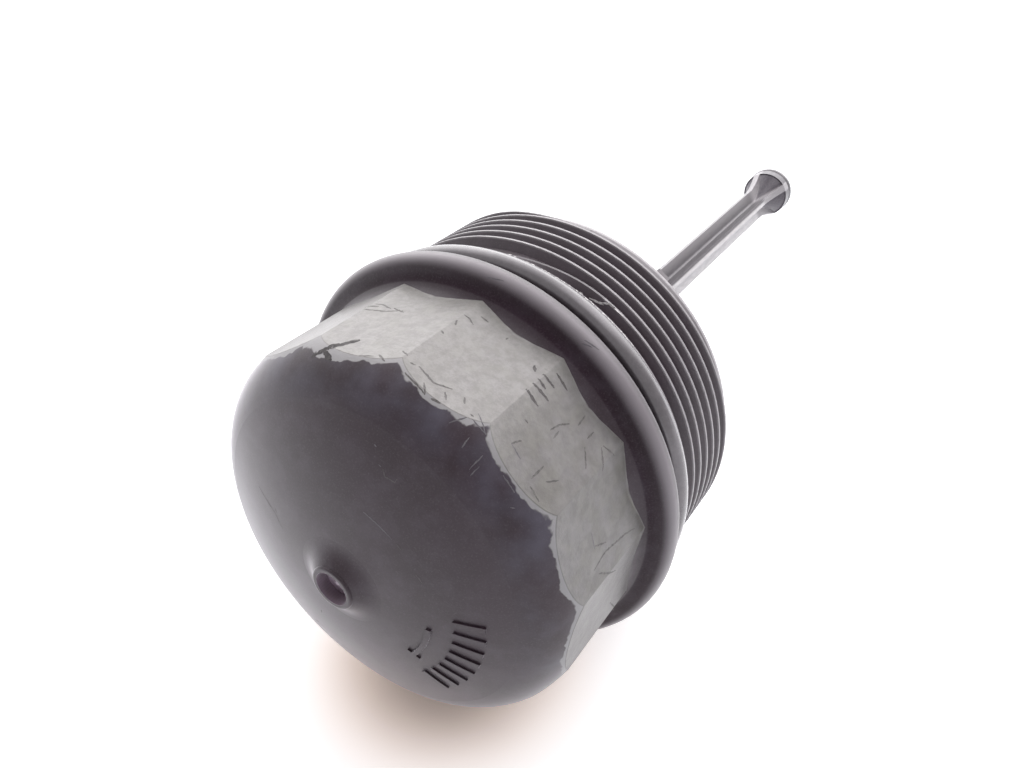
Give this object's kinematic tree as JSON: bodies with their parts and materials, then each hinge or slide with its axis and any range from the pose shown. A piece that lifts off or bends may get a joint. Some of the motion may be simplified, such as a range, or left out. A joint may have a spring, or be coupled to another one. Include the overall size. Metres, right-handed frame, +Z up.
{
  "type": "oil filter housing cap",
  "caption": "Screw cap for an oil filter housing, with a many-sided grip, an external thread, a long drain stem and seal rings.",
  "frame": {"origin": "bottom centre of the box round the cap as it lies on a level surface on its flange bead and last thread turn", "axes": "+X runs level along the cap towards the stem's tip, +Z up, +Y to the left when looking along +X"},
  "size_m": [0.2094, 0.085, 0.0846],
  "materials": {
    "cap_body": "satin, scuffed on the flats",
    "cap_seal_ring": "satin, oiled",
    "drain_stem": "satin",
    "stem_seal_ring": "satin"
  },
  "bodies": {
    "root": {"cap_body": "cap_body", "cap_seal_ring": "cap_seal_ring", "drain_stem": "drain_stem", "stem_seal_ring": "stem_seal_ring"}
  },
  "joints": []
}
